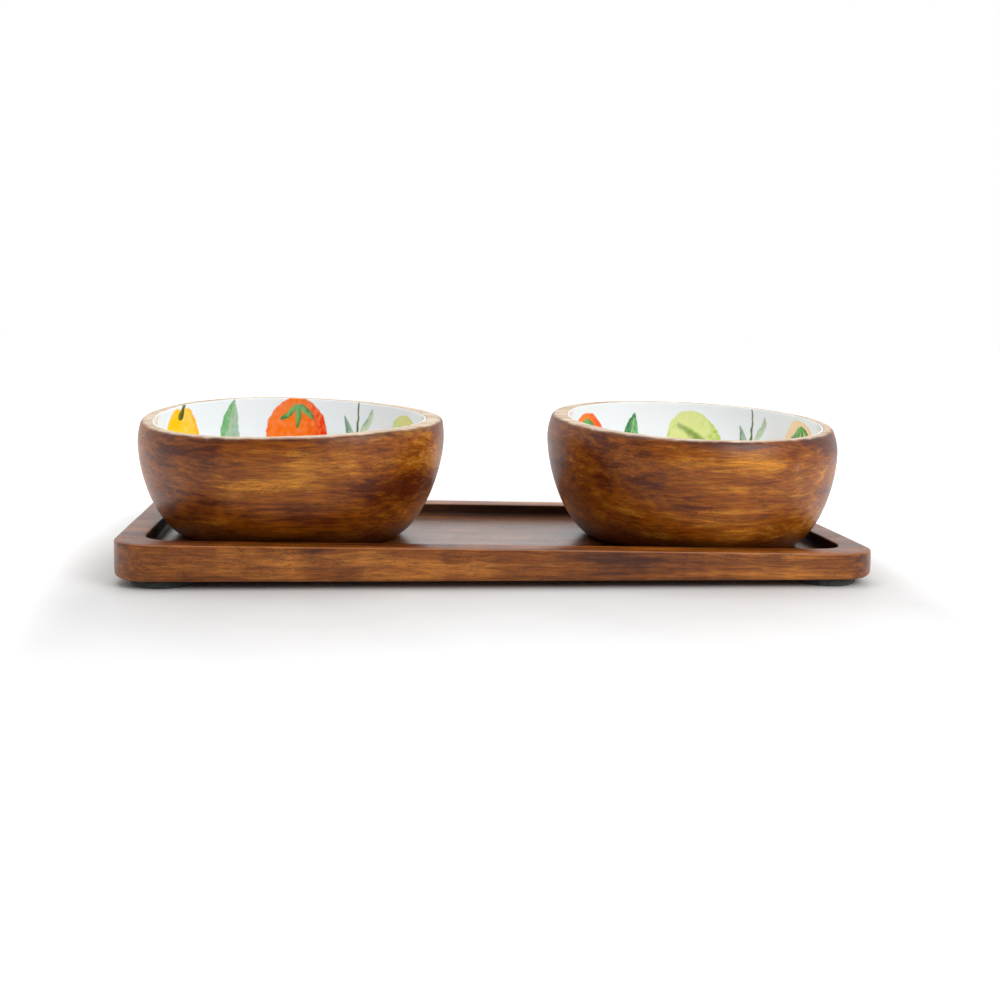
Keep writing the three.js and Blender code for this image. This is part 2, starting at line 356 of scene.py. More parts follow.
def lining_rings(bowl):
    """The rings of a lining from its hidden underside over its bead to the middle of the dish."""
    back = bowl["wall"] - LINING_SINK
    floor = BOWL_FLOOR - LINING_SINK
    edge = LINING_EDGE_DROP + LINING_THICKNESS / 2
    rings = dish_rings(bowl, back, floor, edge, LINING_BACK_STEPS)[::-1]
    for i in range(1, BEAD_STEPS):
        turn = math.pi * i / BEAD_STEPS
        inset = back + LINING_THICKNESS / 2 * (1 - math.cos(turn))
        drop = LINING_EDGE_DROP + LINING_THICKNESS / 2 * (1 - math.sin(turn))
        rings.append(bowl_ring(bowl, below_rim(bowl, drop), inset, 1, shift=bowl["hollow_shift"]))
    first = len(rings)
    inset, floor = back + LINING_THICKNESS, floor + LINING_THICKNESS
    return rings + dish_rings(bowl, inset, floor, edge, LINING_STEPS), first


def print_plan(mesh, rings, first):
    """Adds the flat plan of the print as a UV map, measured along the dish from its middle."""
    count = len(BOWL_ANGLES)
    plan = [(0.0, 0.0)] * len(mesh.vertices)
    for i, angle in enumerate(BOWL_ANGLES):
        inner = rings[first:][::-1]
        middle = sum(inner[0], Vector()) / count
        distance = 0.0
        previous = middle
        for k, ring in enumerate(inner):
            distance += (ring[i] - previous).length
            previous = ring[i]
            index = (len(rings) - 1 - k) * count + i
            plan[index] = (distance * math.cos(angle) / DECIMETRE, distance * math.sin(angle) / DECIMETRE)
        for ring_number in range(first):
            plan[ring_number * count + i] = plan[first * count + i]
    layer = mesh.uv_layers.new(name="print_plan")
    corners = [0] * len(mesh.loops)
    mesh.loops.foreach_get("vertex_index", corners)
    layer.data.foreach_set("uv", [value for corner in corners for value in plan[corner]])


linings = {}
for name, bowl in (("left_bowl", LEFT_BOWL), ("right_bowl", RIGHT_BOWL)):
    rings, first = lining_rings(bowl)
    rings = seated(rings, seats[name])
    mesh = ring_mesh(name + "_enamel", rings, {})
    print_plan(mesh, rings, first)
    linings[name] = add_piece(name + "_enamel", mesh, name, "enamel_lining", name + "_lining")

# %% [markdown]
# ## The tray
# The board was sawn, planed and routed, then every edge was eased by hand. Its rings run under the
# bottom edge, up the side, over the rim, down into the recess and across the floor. A little noise
# in each ring keeps the edges from looking machined. "edge_wear" marks the arrises, where the stain
# is thinner. "in_recess" is 1 on the recess's walls, which take the darkest stain and painted shade,
# and about a third on its floor.

# %% Build the tray's rings
RIM_WIDTH = 11.0 * MM
RECESS_DEPTH = 5.4 * MM
TRAY_CORNER = 16.0 * MM
RECESS_CORNER = 12.5 * MM
BOTTOM_ROUND = 2.2 * MM
TOP_ROUND = 0.9 * MM
RECESS_FILLET = 1.6 * MM
RECESS_FLOOR_MARKS = ((3.5, 0.7), (8, 0.35), (24, 0.3), (40, 0.3))  # mm in, and the mark there, which darkens the floor by the walls with stain and painted shade
CORNER_STEPS = 16
LONG_STEPS = 90
SHORT_STEPS = 36
BOTTOM_STEPS = 6
TOP_STEPS = 5
EASING = 0.16 * MM
LEAST_CORNER = 2 * MM
BOTTOM_WEAR = 0.6  # the lower arris is rubbed less than the upper one


def board_top(x):
    """The height of the planed top, which falls towards the right end."""
    return TRAY_HIGH[2] - BOARD_FALL * (x - TRAY_LOW[0])


def ring_outline(length, width, radius):
    """Points round a rounded rectangle, evenly spaced along each side and each corner."""
    points = []
    for corner in range(4):
        sign_x = 1 if corner in (0, 3) else -1
        sign_y = 1 if corner < 2 else -1
        centre = Vector((sign_x * (length / 2 - radius), sign_y * (width / 2 - radius)))
        for step in range(CORNER_STEPS + 1):
            angle = math.pi / 2 * (corner + step / CORNER_STEPS)
            points.append(centre + radius * Vector((math.cos(angle), math.sin(angle))))
        steps = LONG_STEPS if corner % 2 == 0 else SHORT_STEPS
        along = Vector((-sign_x, 0)) if corner % 2 == 0 else Vector((0, -sign_y))
        span = (length if corner % 2 == 0 else width) - 2 * radius
        start = points[-1]
        points += [start + along * span * step / steps for step in range(1, steps)]
    return points


def tray_ring(length, width, radius, height_at, wobble):
    """One ring of the tray, pulled in a little by the noise of hand easing."""
    ring = []
    for point in ring_outline(length, width, radius):
        height = height_at(point.x)
        uneven = noise.noise(Vector((point.x * 40, point.y * 40, height * 120)))
        inward = 1 - wobble * EASING * (0.5 + 0.5 * uneven) / (width / 2)
        ring.append(Vector((point.x * inward, point.y * inward, height)))
    return ring


def tray_rings():
    """All the rings of the board with their marks."""
    recess_length = TRAY_LENGTH - 2 * RIM_WIDTH
    recess_width = TRAY_WIDTH - 2 * RIM_WIDTH
    bottom = TRAY_LOW[2]
    rings, wear, recess = [], [], []

    # The stained value is the in_recess mark, which darkens the recess with stain and painted shade.
    def add(inset, height_at, worn, inside, wobble=1.0, stained=None):
        if inside:
            length, width, corner = recess_length, recess_width, RECESS_CORNER
        else:
            length, width, corner = TRAY_LENGTH, TRAY_WIDTH, TRAY_CORNER
        size = (length - 2 * inset, width - 2 * inset, max(corner - inset, LEAST_CORNER))
        rings.append(tray_ring(*size, height_at, wobble))
        wear.append(worn)
        recess.append(float(inside) if stained is None else stained)

    def under_top(down):
        return lambda x: board_top(x) - down

    def up_side(share):
        low = bottom + BOTTOM_ROUND
        return lambda x: low + share * (board_top(x) - TOP_ROUND - bottom - BOTTOM_ROUND)

    for i in range(BOTTOM_STEPS + 1):
        turn = math.pi / 2 * i / BOTTOM_STEPS
        height = bottom + BOTTOM_ROUND * (1 - math.cos(turn))
        worn = math.sin(2 * turn) * BOTTOM_WEAR
        add(BOTTOM_ROUND * (1 - math.sin(turn)), lambda x: height, worn, False)
    for share in (0.25, 0.5, 0.75):
        add(0, up_side(share), 0.0, False, 0.6)
    for i in range(TOP_STEPS + 1):
        turn = math.pi / 2 * i / TOP_STEPS
        height_at = under_top(TOP_ROUND * (1 - math.sin(turn)))
        add(TOP_ROUND * (1 - math.cos(turn)), height_at, math.sin(2 * turn), False)
    add(RIM_WIDTH * 0.35, under_top(0.0), 0.0, False)
    add(RIM_WIDTH * 0.65, under_top(0.0), 0.0, False)
    for i in range(TOP_STEPS + 1):
        turn = math.pi / 2 * i / TOP_STEPS
        inset = -TOP_ROUND * (1 - math.sin(turn))
        height_at = under_top(TOP_ROUND * (1 - math.cos(turn)))
        add(inset, height_at, math.sin(2 * turn), True, stained=soft_step(i / TOP_STEPS))
    for share in (0.3, 0.6):
        add(0, under_top(TOP_ROUND + share * (RECESS_DEPTH - TOP_ROUND - RECESS_FILLET)), 0.0, True)
    for i in range(TOP_STEPS + 1):
        turn = math.pi / 2 * i / TOP_STEPS
        down = RECESS_DEPTH - RECESS_FILLET * (1 - math.sin(turn))
        add(RECESS_FILLET * (1 - math.cos(turn)), under_top(down), 0.0, True)
    for inset, stained in RECESS_FLOOR_MARKS:
        add(inset * MM, under_top(RECESS_DEPTH), 0.0, True, 0.0, stained)
    return rings, {"edge_wear": wear, "in_recess": recess}


rings, marks = tray_rings()
tray = add_piece("tray_board", ring_mesh("tray_board", rings, marks), "tray", "tray_wood", "tray")
print("the board is", round(BOARD_THICK_LEFT / MM, 1), "mm thick at the left")
print("and", round(BOARD_THICK_RIGHT / MM, 1), "mm at the right")

# %% [markdown]
# ## The felt feet
# Four discs are punched from pressed felt and stuck on under the corners. A punched disc has a
# crisp top edge and a softer lower one, where it is pressed against the table. The rings follow
# that profile, and a little noise gives the side its fuzzy outline.

# %% Build the feet
FOOT_POINTS = 64
FOOT_ANGLES = [2 * math.pi * i / FOOT_POINTS for i in range(FOOT_POINTS)]
FOOT_PROFILE = (  # shares of the thickness and of the radius, from the underside up
    (0.0, 0.55), (0.0, 0.9), (0.05, 0.97), (0.2, 1.0),
    (0.5, 0.995), (0.85, 1.0), (1.0, 0.985), (1.0, 0.6),
)
FUZZ_DEPTH = 0.25 * MM


def foot_mesh(name, node):
    """A felt disc that fills the CAD disc's box."""
    low, high = (Vector(corner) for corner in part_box(node))
    middle = (low + high) / 2
    radius = (high.x - low.x) / 2
    rings = []
    for up, out in FOOT_PROFILE:
        ring = []
        for angle in FOOT_ANGLES:
            fuzz = noise.noise(Vector((9 * math.cos(angle), 9 * math.sin(angle), 2 * up + middle.x * 70)))
            reach = radius * out - FUZZ_DEPTH * (0.5 + 0.5 * fuzz)
            height = low.z + up * (high.z - low.z)
            ring.append(Vector((
                middle.x + reach * math.cos(angle), middle.y + reach * math.sin(angle), height,
            )))
        rings.append(ring)
    return ring_mesh(name, rings, {})


FOOT_PLACES = ("front_left", "front_right", "rear_left", "rear_right")
feet = []
for place in FOOT_PLACES:
    node = "foot_" + place
    feet.append(add_piece("felt_" + node, foot_mesh("felt_" + node, node), "tray", "felt_foot", node))

# %% [markdown]
# ## Short words for node trees
# A material is a tree of small nodes, and writing one out link by link buries the idea. These
# helpers each add one node: a value that is itself a socket is linked, and a plain value is typed
# into the socket. With them a finish reads almost like a recipe.

# %% Write node trees in short lines


def set_inputs(tree, node, values):
    """Links each value that is a socket, and types each plain value into its socket."""
    for name, value in values.items():
        if isinstance(value, bpy.types.NodeSocket):
            tree.links.new(value, node.inputs[name])
        else:
            node.inputs[name].default_value = value


def add_node(tree, kind, settings=None, values=None):
    """Adds one node, with its settings and the values or links of its inputs."""
    node = tree.nodes.new(kind)
    for name, value in (settings or {}).items():
        setattr(node, name, value)
    set_inputs(tree, node, values or {})
    return node


def maths(tree, operation, *values):
    """One sum on numbers."""
    return add_node(tree, "ShaderNodeMath", {"operation": operation}, dict(enumerate(values))).outputs[0]


def vector_maths(tree, operation, *values):
    """One sum on vectors."""
    return add_node(tree, "ShaderNodeVectorMath", {"operation": operation}, dict(enumerate(values)))


def ramp(tree, value, low, high, to_low=0.0, to_high=1.0):
    """A smooth step from one level to another."""
    values = {"Value": value, "From Min": low, "From Max": high, "To Min": to_low, "To Max": to_high}
    return add_node(tree, "ShaderNodeMapRange", {"interpolation_type": "SMOOTHSTEP"}, values).outputs[0]


def blend(tree, share, first, second):
    """Mixes two colours."""
    values = {0: share, 6: first, 7: second}
    return add_node(tree, "ShaderNodeMix", {"data_type": "RGBA"}, values).outputs[2]


def mix_values(tree, share, first, second):
    """Mixes two numbers."""
    return add_node(tree, "ShaderNodeMix", None, {0: share, 2: first, 3: second}).outputs[0]


def cloud(tree, place, scale, detail=3.0, roughness=0.5):
    """Soft noise between 0 and 1."""
    values = {"Vector": place, "Scale": scale, "Detail": detail, "Roughness": roughness}
    return add_node(tree, "ShaderNodeTexNoise", None, values).outputs[0]


def stretch(tree, place, amounts):
    """Stretches a pattern differently along each axis."""
    return vector_maths(tree, "MULTIPLY", place, amounts).outputs[0]


print("the short words are add_node, maths, vector_maths, ramp, blend, mix_values, cloud, stretch")

# %% Make groups, paints and materials


def new_group(name, inputs, outputs):
    """A node group with named inputs, each (label, kind, value), and outputs, each (label, kind)."""
    tree = bpy.data.node_groups.new(name, "ShaderNodeTree")
    for label, kind, value in inputs:
        socket = tree.interface.new_socket(name=label, in_out="INPUT", socket_type="NodeSocket" + kind)
        socket.default_value = value
    for label, kind in outputs:
        tree.interface.new_socket(name=label, in_out="OUTPUT", socket_type="NodeSocket" + kind)
    return tree, tree.nodes.new("NodeGroupInput").outputs, tree.nodes.new("NodeGroupOutput").inputs


def use_group(tree, group, values):
    """Places a node group and returns its outputs."""
    return add_node(tree, "ShaderNodeGroup", {"node_tree": group}, values).outputs


def colour(red, green, blue):
    """A paint-chart colour, 0 to 255 as a screen shows it, as the linear colour that nodes use."""
    levels = [level / 255 for level in (red, green, blue)]
    return tuple(v / 12.92 if v <= 0.04045 else ((v + 0.055) / 1.055) ** 2.4 for v in levels) + (1.0,)


def new_material(name):
    """An empty material with its output and a Principled shader, which keeps its own constants."""
    material = bpy.data.materials.new(name)
    material.use_nodes = True
    return material, material.node_tree, material.node_tree.nodes["Principled BSDF"]


def dress(piece, material):
    """Puts a material on a piece in place of any other."""
    piece.data.materials.clear()
    piece.data.materials.append(material)
    print(piece.name, "is dressed in", material.name)


print("white on the paint chart is", colour(255, 255, 255), "to the nodes")


# %% [markdown]
# ## Stained wood
# Mango wood has soft wandering streaks along the grain, short open pores and paler or darker
# patches where the stain took differently. The streaks are noise stretched along the grain, the
# pores are long thin cells, and a slower noise bends both. One node group makes the colour, the
# roughness and the height of all of it, so the tray and the bowls share one kind of wood and
# differ only in their stains.

# %% Make the wood group
WOOD_INPUTS = (
    ("Place", "Vector", (0, 0, 0)),
    ("Seed", "Float", 0.0),
    ("Dark Stain", "Color", colour(60, 24, 8)),
    ("Stain", "Color", colour(140, 76, 28)),
    ("Honey", "Color", colour(184, 116, 50)),
    ("Pore Colour", "Color", colour(40, 16, 8)),
    ("Patches", "Float", 1.0),
)
WOOD_OUTPUTS = (("Color", "Color"), ("Roughness", "Float"), ("Height", "Float"))


def make_wood_group():
    """Stained wood with its grain along X."""
    tree, given, result = new_group("stained_mango_wood", WOOD_INPUTS, WOOD_OUTPUTS)
    seeds = {0: given["Seed"], 1: given["Seed"]}
    offset = add_node(tree, "ShaderNodeCombineXYZ", None, seeds).outputs[0]
    place = vector_maths(tree, "ADD", given["Place"], offset).outputs[0]
    drift_values = {"Vector": stretch(tree, place, (7, 26, 26)), "Scale": 1.0, "Detail": 2.0}
    drift = add_node(tree, "ShaderNodeTexNoise", None, drift_values).outputs["Color"]
    drift = vector_maths(tree, "SUBTRACT", drift, (0.5, 0.5, 0.5)).outputs[0]
    place = vector_maths(tree, "MULTIPLY_ADD", drift, (0.004, 0.012, 0.012), place).outputs[0]

    patches = cloud(tree, stretch(tree, place, (11, 60, 60)), 1.0, 4, 0.6)
    streaks = cloud(tree, stretch(tree, place, (24, 420, 420)), 1.0, 5, 0.66)
    fibres = cloud(tree, stretch(tree, place, (110, 1300, 1300)), 1.0, 4, 0.7)
    figure = cloud(tree, stretch(tree, place, (95, 40, 40)), 1.0, 2, 0.5)
    smudges = cloud(tree, stretch(tree, place, (28, 120, 120)), 1.0, 4, 0.6)
    cells = {"Vector": stretch(tree, place, (520, 2600, 2600)), "Scale": 1.0}
    cells = add_node(tree, "ShaderNodeTexVoronoi", None, cells).outputs["Distance"]
    pores = ramp(tree, cells, 0.14, 0.42, 1, 0)
    crowding = cloud(tree, stretch(tree, place, (60, 190, 190)), 1.0, 2, 0.5)
    pores = maths(tree, "MULTIPLY", pores, ramp(tree, crowding, 0.40, 0.62))

    patch_share = maths(tree, "SUBTRACT", patches, 0.5)
    patch_share = maths(tree, "MULTIPLY_ADD", patch_share, given["Patches"], 0.5)
    level = maths(tree, "MULTIPLY_ADD", maths(tree, "SUBTRACT", streaks, 0.5), 0.9, patch_share)
    level = maths(tree, "MULTIPLY_ADD", maths(tree, "SUBTRACT", figure, 0.5), 0.35, level)
    stain = blend(tree, ramp(tree, level, 0.26, 0.52), given["Dark Stain"], given["Stain"])
    stain = blend(tree, ramp(tree, level, 0.50, 0.78), stain, given["Honey"])
    stain = blend(tree, ramp(tree, smudges, 0.56, 0.76, 0, 0.3), stain, given["Dark Stain"])
    fibre_tone = ramp(tree, fibres, 0.3, 0.7, 0.6, 1.3)
    toned = {0: stain, "Scale": fibre_tone}
    stain = add_node(tree, "ShaderNodeVectorMath", {"operation": "SCALE"}, toned).outputs[0]
    stain = blend(tree, maths(tree, "MULTIPLY", pores, 0.6), stain, given["Pore Colour"])
    tree.links.new(stain, result["Color"])

    rough = ramp(tree, streaks, 0.2, 0.8, 0.30, 0.46)
    tree.links.new(maths(tree, "MULTIPLY_ADD", pores, 0.3, rough), result["Roughness"])
    height = maths(tree, "MULTIPLY_ADD", fibres, 0.3, maths(tree, "MULTIPLY", streaks, 0.5))
    tree.links.new(maths(tree, "SUBTRACT", height, pores), result["Height"])
    return tree


WOOD_GROUP = make_wood_group()
print("wood group has", len(WOOD_GROUP.nodes), "nodes")

# %% [markdown]
# ## Two stains
# The tray is a cooler, darker walnut brown, and the bowls are warmer. A bowl is stained all over,
# then its lip is sanded back to bare wood, which leaves a slightly ragged line. Painted shade darkens
# the foot of the bowl and the outer round of the lip, and stain gathers in streaks just under the lip.
# The "sanded" and "height_share" marks say where, and noise breaks up their borders.

# %% Dress the bowls
GRAIN_DEPTH = 0.06 * MM


def attribute_value(tree, name):
    """One of the marks that a mesh carries."""
    return add_node(tree, "ShaderNodeAttribute", {"attribute_name": name}).outputs["Fac"]


def object_place(tree):
    """The place on the piece itself, which moves with it."""
    return add_node(tree, "ShaderNodeTexCoord").outputs["Object"]


def bump(tree, height, distance):
    """A bump of a real depth."""
    values = {"Strength": 1.0, "Distance": distance, "Height": height}
    return add_node(tree, "ShaderNodeBump", None, values).outputs[0]


def bowl_wood(name, seed):
    """Warm stained wood with a pale sanded lip and painted shade that darkens the foot."""
    material, tree, shader = new_material(name)
    place = object_place(tree)
    grain = use_group(tree, WOOD_GROUP, {
        "Place": stretch(tree, place, (1, 0.35, 1)), "Seed": seed, "Patches": 1.3,
        "Dark Stain": colour(86, 31, 0), "Stain": colour(138, 71, 2), "Honey": colour(188, 118, 30),
    })
    bare = use_group(tree, WOOD_GROUP, {
        "Place": place, "Seed": seed, "Patches": 0.5, "Dark Stain": colour(172, 144, 116),
        "Stain": colour(204, 183, 160), "Honey": colour(218, 202, 182),
        "Pore Colour": colour(132, 102, 76),
    })
    # Painted shade: the bowl is darkened towards its base, where the tray shades it.
    foot_cloud = cloud(tree, stretch(tree, place, (16, 16, 60)), 1.0, 3)
    foot_share = maths(tree, "MULTIPLY_ADD", foot_cloud, 0.16, attribute_value(tree, "height_share"))
    foot_painted_shade = ramp(tree, foot_share, 0.10, 0.34, 0.8, 0)
    stain = blend(tree, foot_painted_shade, grain["Color"], colour(66, 22, 2))
    edge_cloud = cloud(tree, stretch(tree, place, (26, 20, 160)), 1.0, 4, 0.6)
    edge_share = maths(tree, "MULTIPLY_ADD", edge_cloud, 0.5, attribute_value(tree, "height_share"))
    stain = blend(tree, ramp(tree, edge_share, 1.14, 1.34, 0, 0.75), stain, colour(58, 22, 6))
    ragged = maths(tree, "MULTIPLY_ADD", cloud(tree, place, 150, 5), 0.9, attribute_value(tree, "sanded"))
    sanded = ramp(tree, ragged, 0.58, 1.15)
    set_inputs(tree, shader, {
        "Base Color": blend(tree, sanded, stain, bare["Color"]),
        "Roughness": mix_values(tree, sanded, grain["Roughness"], 0.62),
        "Normal": bump(tree, grain["Height"], GRAIN_DEPTH),
        "Coat Weight": ramp(tree, sanded, 0, 1, 0.12, 0.0),
        "Coat Roughness": 0.3,
        "IOR": 1.34,
    })
    return material


dress(shells["left_bowl"], bowl_wood("left_bowl_wood", 0.37))
dress(shells["right_bowl"], bowl_wood("right_bowl_wood", 1.93))

# %% [markdown]
# ## The tray's finish
# The tray's marks do the same work: its arrises are a little rubbed and the walls of the recess,
# which are sanded least, took the most stain and carry the darkest painted shade. Its lacquer is
# glossier than that of the bowls, most of all on the recess floor.

# %% Dress the tray


def tray_wood():
    """Walnut-stained wood under a glossier lacquer."""
    material, tree, shader = new_material("tray_wood")
    place = object_place(tree)
    grain = use_group(tree, WOOD_GROUP, {
        "Place": place, "Seed": 5.2, "Patches": 1.1,
        "Dark Stain": colour(72, 29, 4), "Stain": colour(127, 66, 10), "Honey": colour(174, 104, 34),
    })
    edge_wear = attribute_value(tree, "edge_wear")
    worn = maths(tree, "MULTIPLY_ADD", cloud(tree, place, 120, 3), 0.7, edge_wear)
    rubbed = blend(tree, ramp(tree, worn, 0.95, 1.4, 0, 0.5), grain["Color"], colour(176, 112, 62))
    # Stain and painted shade of the recess: in_recess blends the wood towards this near-black brown.
    deep = blend(tree, 0.86, rubbed, colour(26, 10, 6))
    in_recess = attribute_value(tree, "in_recess")
    floor_gloss = ramp(tree, in_recess, 0, 0.3, 0.15, 0.7)
    wall_gloss = ramp(tree, in_recess, 0.4, 0.9, 1, 0.15)
    wall_rough = ramp(tree, in_recess, 0.4, 0.9, 0, 0.4)
    set_inputs(tree, shader, {
        "Base Color": blend(tree, in_recess, rubbed, deep),
        "Roughness": maths(tree, "ADD", grain["Roughness"], wall_rough),
        "Normal": bump(tree, grain["Height"], GRAIN_DEPTH),
        "Coat Weight": maths(tree, "MULTIPLY", floor_gloss, wall_gloss),
        "Coat Roughness": 0.24,
        "IOR": 1.36,
    })
    return material


dress(tray, tray_wood())

# %% [markdown]
# ## The watercolour print
# The print is a repeat of tomatoes, limes, peppers, leaves and sprigs in watercolour. An image could
# hold it, but here it is painted with nodes: every mark is either a brush stroke between two
# points or a round fruit, laid over what is already there. A stroke group and a fruit group each
# give a mask and a depth, and a wash group turns those into paint, which gathers at its edges and
# settles in grains as real watercolour does. Sizes are millimetres on the flat print.

# %% Make the brush stroke group
MARK_OUTPUTS = (("Mask", "Float"), ("Depth", "Float"))
STROKE_INPUTS = (
    ("Plan", "Vector", (0, 0, 0)),
    ("Start", "Vector", (0, 0, 0)),
    ("End", "Vector", (10, 0, 0)),
    ("Bend", "Float", 0.0),
    ("Start Width", "Float", 2.0),
    ("End Width", "Float", 2.0),
    ("Belly", "Float", 0.0),
    ("Softness", "Float", 0.3),
)


def make_stroke_group():
    """A stroke that bends, tapers, and swells like a leaf when its belly is 1."""
    tree, given, result = new_group("brush_stroke", STROKE_INPUTS, MARK_OUTPUTS)
    run = vector_maths(tree, "SUBTRACT", given["End"], given["Start"])
    length = vector_maths(tree, "LENGTH", run.outputs[0]).outputs["Value"]
    along_line = vector_maths(tree, "NORMALIZE", run.outputs[0]).outputs[0]
    from_start = vector_maths(tree, "SUBTRACT", given["Plan"], given["Start"]).outputs[0]
    travelled = vector_maths(tree, "DOT_PRODUCT", from_start, along_line).outputs["Value"]
    share = maths(tree, "DIVIDE", travelled, length)
    inside = add_node(tree, "ShaderNodeClamp", None, {0: share}).outputs[0]
    past_end = maths(tree, "MULTIPLY", maths(tree, "SUBTRACT", share, inside), length)
    side = vector_maths(tree, "CROSS_PRODUCT", along_line, from_start).outputs[0]
    side = vector_maths(tree, "DOT_PRODUCT", side, (0, 0, 1)).outputs["Value"]
    hump = maths(tree, "MULTIPLY", maths(tree, "SUBTRACT", 1.0, inside), inside)
    side = maths(tree, "MULTIPLY_ADD", maths(tree, "MULTIPLY", hump, -4.0), given["Bend"], side)
    past_squared = maths(tree, "POWER", past_end, 2.0)
    distance = maths(tree, "SQRT", maths(tree, "MULTIPLY_ADD", side, side, past_squared))
    width = mix_values(tree, inside, given["Start Width"], given["End Width"])
    swell = maths(tree, "POWER", maths(tree, "MULTIPLY", hump, 4.0), 0.7)
    swell = mix_values(tree, given["Belly"], 1.0, swell)
    half_width = maths(tree, "MULTIPLY", maths(tree, "MULTIPLY", width, 0.5), swell)
    over = maths(tree, "DIVIDE", maths(tree, "SUBTRACT", half_width, distance), given["Softness"])
    tree.links.new(ramp(tree, over, -1, 1), result["Mask"])
    across = maths(tree, "DIVIDE", side, width)
    tree.links.new(maths(tree, "MULTIPLY_ADD", inside, 0.6, across), result["Depth"])
    return tree


STROKE_GROUP = make_stroke_group()
print("brush stroke group has", len(STROKE_GROUP.nodes), "nodes")

# %% Make the round fruit group
FRUIT_INPUTS = (
    ("Plan", "Vector", (0, 0, 0)),
    ("Middle", "Vector", (0, 0, 0)),
    ("Radii", "Vector", (10, 10, 1)),
    ("Turn", "Float", 0.0),
    ("Softness", "Float", 0.03),
)


def make_fruit_group():
    """An oval that is lit from its upper left."""
    tree, given, result = new_group("round_fruit", FRUIT_INPUTS, MARK_OUTPUTS)
    place = vector_maths(tree, "SUBTRACT", given["Plan"], given["Middle"]).outputs[0]
    turned = {"Vector": place, "Angle": given["Turn"]}
    turned = add_node(tree, "ShaderNodeVectorRotate", {"rotation_type": "Z_AXIS"}, turned).outputs[0]
    scaled = vector_maths(tree, "DIVIDE", turned, given["Radii"]).outputs[0]
    out = vector_maths(tree, "LENGTH", scaled).outputs["Value"]
    over = maths(tree, "DIVIDE", maths(tree, "SUBTRACT", 1.0, out), given["Softness"])
    tree.links.new(ramp(tree, over, -1, 1), result["Mask"])
    lit = vector_maths(tree, "DOT_PRODUCT", scaled, (0.35, -0.3, 0)).outputs["Value"]
    out_squared = maths(tree, "POWER", out, 2.0)
    tree.links.new(maths(tree, "MULTIPLY_ADD", out_squared, 0.45, lit), result["Depth"])
    return tree


FRUIT_GROUP = make_fruit_group()
print("round fruit group has", len(FRUIT_GROUP.nodes), "nodes")

# %% Make the wash group
WASH_INPUTS = (
    ("Under", "Color", (1, 1, 1, 1)),
    ("Mask", "Float", 0.0),
    ("Depth", "Float", 0.0),
    ("Cloud", "Float", 0.5),
    ("Light", "Color", (1, 1, 1, 1)),
    ("Deep", "Color", (0, 0, 0, 1)),
    ("Strength", "Float", 1.0),
)


def make_wash_group():
    """Watercolour over what is under it: light to deep, with a darker edge and uneven cover."""
    tree, given, result = new_group("watercolour_wash", WASH_INPUTS, (("Color", "Color"),))
    uneven = maths(tree, "SUBTRACT", given["Cloud"], 0.5)
    cover = maths(tree, "MULTIPLY_ADD", uneven, 0.45, given["Strength"])
    cover = add_node(tree, "ShaderNodeClamp", None, {0: cover}).outputs[0]
    cover = maths(tree, "MULTIPLY", cover, given["Mask"])
    edge = maths(tree, "MULTIPLY", given["Mask"], maths(tree, "SUBTRACT", 1.0, given["Mask"]))
    depth = maths(tree, "MULTIPLY_ADD", uneven, 1.9, given["Depth"])
    depth = maths(tree, "MULTIPLY_ADD", edge, 1.5, ramp(tree, depth, 0.0, 0.9))
    depth = add_node(tree, "ShaderNodeClamp", None, {0: depth}).outputs[0]
    washed = blend(tree, cover, given["Under"], given["Light"])
    deepened = blend(tree, maths(tree, "MULTIPLY", cover, depth), washed, given["Deep"])
    tree.links.new(deepened, result["Color"])
    return tree


WASH_GROUP = make_wash_group()
print("wash group has", len(WASH_GROUP.nodes), "nodes")

# %% [markdown]
# ## The paints
# A painter keeps a small palette and mixes from it, which holds a print together. Every mark below
# names its colours from this list.

# %% Mix the palette
PAINTS = {
    "ground": colour(238, 243, 248), "pale_lime": colour(222, 230, 148), "lime": colour(168, 202, 62),
    "apple": colour(120, 166, 70), "moss": colour(92, 124, 44), "olive": colour(74, 78, 30),
    "leaf": colour(104, 178, 98), "deep_leaf": colour(48, 118, 64), "sage": colour(160, 188, 164),
    "pale_sage": colour(200, 216, 178), "sage_teal": colour(92, 134, 122), "gold": colour(255, 202, 0),
    "amber": colour(255, 172, 0), "peach": colour(255, 222, 180), "apricot": colour(252, 182, 126),
    "orange": colour(252, 118, 10), "vermilion": colour(236, 40, 0), "coral": colour(242, 138, 112),
    "deep_coral": colour(226, 96, 76),
}
print("the palette has", len(PAINTS), "paints")

# %% [markdown]
# ## Painting the two prints
# The print is a plain repeat, as on everyday tableware. One wreath of vegetables runs round the wall
# and a smaller one lies on the floor of the bowl. A motif is a few brush marks drawn about its own
# middle: a fruit gives its middle, two radii, turn and paints, a stroke gives its start, end, bend
# and two widths, and a leaf is a stroke that swells in its middle.

# %% Draw the fruits


def tomato(size, light, deep):
    """A round fruit under three sepals."""
    marks = [("fruit", (0, 0), (size, size * 0.93), 0, light, deep, 1.0)]
    for side, drop in ((-0.6, 0.3), (0.0, 0.05), (0.6, 0.3)):
        tip = (size * side, size * drop)
        marks.append(("leaf", (0, size * 0.75), tip, 0.8, (3.6, 2.6), "leaf", "deep_leaf", 0.95, 0.4))
    return marks


def lime(size):
    """An oval with one darker rib."""
    rib = ("stroke", (-size * 0.6, size * 0.4), (size * 0.5, -size * 0.3), 2.0, (1.6, 5.0))
    return [
        ("fruit", (0, 0), (size, size * 0.8), 0.5, "pale_lime", "lime", 1.0),
        (*rib, "moss", "apple", 0.7, 1.4),
    ]


